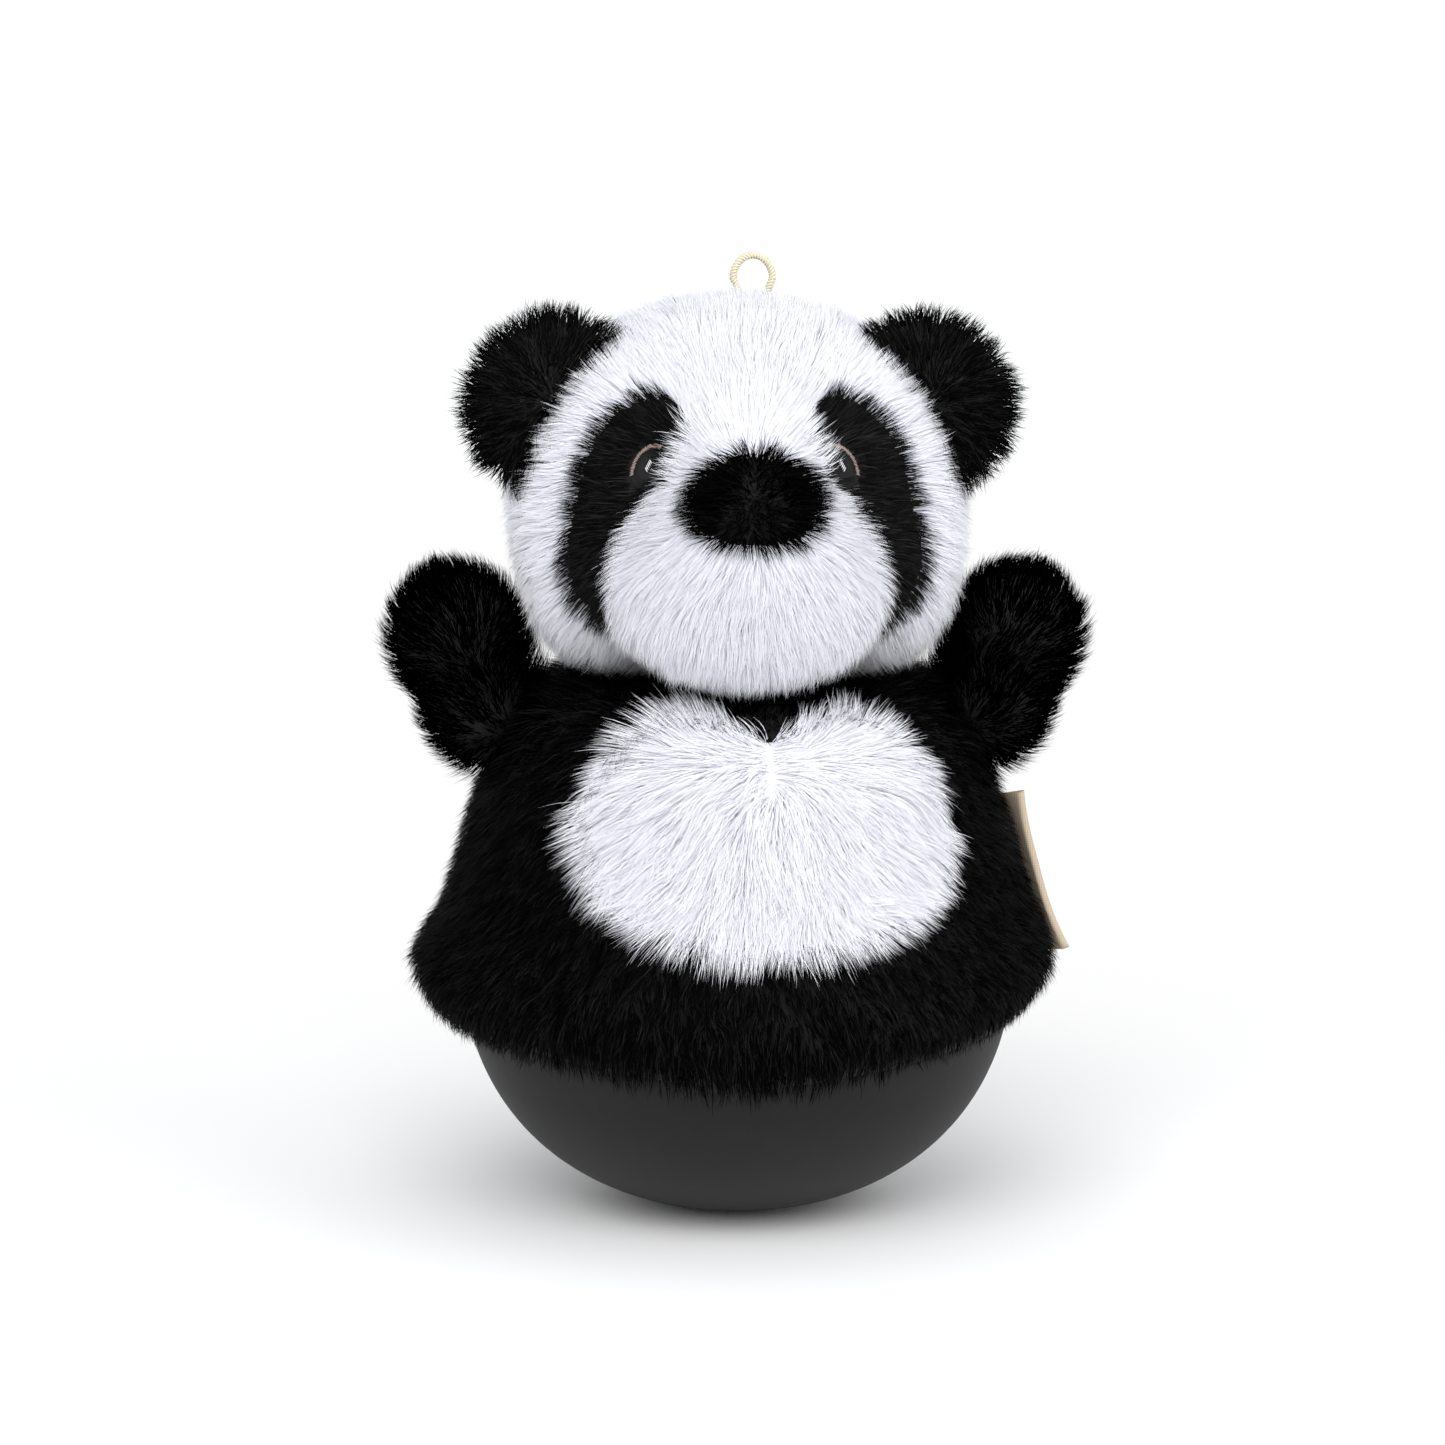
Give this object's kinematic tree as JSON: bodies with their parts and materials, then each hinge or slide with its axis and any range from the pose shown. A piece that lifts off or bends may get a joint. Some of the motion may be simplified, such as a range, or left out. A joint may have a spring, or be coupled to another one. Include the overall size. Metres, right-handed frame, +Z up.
{
  "type": "roly-poly plush panda",
  "caption": "Plush panda in a fur cover over a weighted round ball base that rocks and rights itself, with a turning head, swinging arms, soft ears, a hanging loop and a side label.",
  "frame": {"origin": "centre of the small flat on the underside of the ball, on the table", "axes": "+Z up, the panda faces -Y, its left arm is at +X"},
  "size_m": [0.1892, 0.1724, 0.2579],
  "materials": {
    "ball": "matt",
    "weight": "as cast",
    "screw": "plain",
    "black_fur": "long pile fur",
    "white_fur": "long pile fur",
    "stuffing": "polyester fibre",
    "lining": "woven",
    "elastic": "covered elastic",
    "eye_thread": "satin stitch",
    "cord": "braided cord",
    "label": "plain woven ribbon"
  },
  "bodies": {
    "base": {"ball_bottom_shell": "ball", "ball_top_shell": "ball", "ballast_weight": "weight", "ballast_screw_1": "screw", "ballast_screw_2": "screw", "ballast_screw_3": "screw"},
    "torso": {"body_cover_front": "black_fur", "body_cover_back": "black_fur", "belly_patch": "white_fur", "hem_elastic": "elastic", "ball_pocket_lining": "lining", "body_stuffing": "stuffing"},
    "neck": {"neck_stuffing": "stuffing"},
    "head": {"head_cover_front": "white_fur", "head_cover_back": "white_fur", "muzzle_panel": "white_fur", "nose_patch": "black_fur", "eye_patch_left": "black_fur", "eye_patch_right": "black_fur", "eye_left": "eye_thread", "eye_right": "eye_thread", "head_stuffing": "stuffing"},
    "arm_left": {"arm_left_front_panel": "black_fur", "arm_left_back_panel": "black_fur", "arm_left_stuffing": "stuffing"},
    "arm_right": {"arm_right_front_panel": "black_fur", "arm_right_back_panel": "black_fur", "arm_right_stuffing": "stuffing"},
    "ear_left": {"ear_left_front_panel": "black_fur", "ear_left_back_panel": "black_fur", "ear_left_padding": "stuffing"},
    "ear_right": {"ear_right_front_panel": "black_fur", "ear_right_back_panel": "black_fur", "ear_right_padding": "stuffing"},
    "loop": {"hanging_loop": "cord"},
    "label": {"side_label": "label"}
  },
  "joints": [
    {"name": "cover_turn", "type": "hinge", "parent": "base", "child": "torso", "pos_m": [0, 0, 0.07], "axis": [0, 0, 1], "continuous": true},
    {"name": "neck_turn", "type": "hinge", "parent": "torso", "child": "neck", "pos_m": [0, 0, 0.15612], "axis": [0, 0, 1], "range_deg": [-25, 25], "stiffness_Nm_per_rad": 0.05},
    {"name": "neck_nod", "type": "hinge", "parent": "neck", "child": "head", "pos_m": [0, 0, 0.15612], "axis": [-1, 0, 0], "range_deg": [-2, 12], "stiffness_Nm_per_rad": 0.6},
    {"name": "arm_left_swing", "type": "hinge", "parent": "torso", "child": "arm_left", "pos_m": [0.068, 0, 0.13562], "axis": [0, -1, 0], "range_deg": [-40, 5], "stiffness_Nm_per_rad": 0.05},
    {"name": "arm_right_swing", "type": "hinge", "parent": "torso", "child": "arm_right", "pos_m": [-0.068, 0, 0.13562], "axis": [0, 1, 0], "range_deg": [-40, 5], "stiffness_Nm_per_rad": 0.05},
    {"name": "ear_left_flop", "type": "hinge", "parent": "head", "child": "ear_left", "pos_m": [0.0475, -0.014, 0.21612], "axis": [0.5736, 0, -0.8192], "range_deg": [-12, 12], "stiffness_Nm_per_rad": 0.02},
    {"name": "ear_right_flop", "type": "hinge", "parent": "head", "child": "ear_right", "pos_m": [-0.0475, -0.014, 0.21612], "axis": [0.5736, 0, 0.8192], "range_deg": [-12, 12], "stiffness_Nm_per_rad": 0.02},
    {"name": "loop_flop", "type": "hinge", "parent": "head", "child": "loop", "pos_m": [0.0045, 0.006, 0.24862], "axis": [1, 0, 0], "range_deg": [-60, 60], "stiffness_Nm_per_rad": 0.00001},
    {"name": "label_flap", "type": "hinge", "parent": "torso", "child": "label", "pos_m": [0.0733, 0, 0.11162], "axis": [0.2936, 0, -0.9559], "range_deg": [-110, 20], "stiffness_Nm_per_rad": 0.0001}
  ]
}
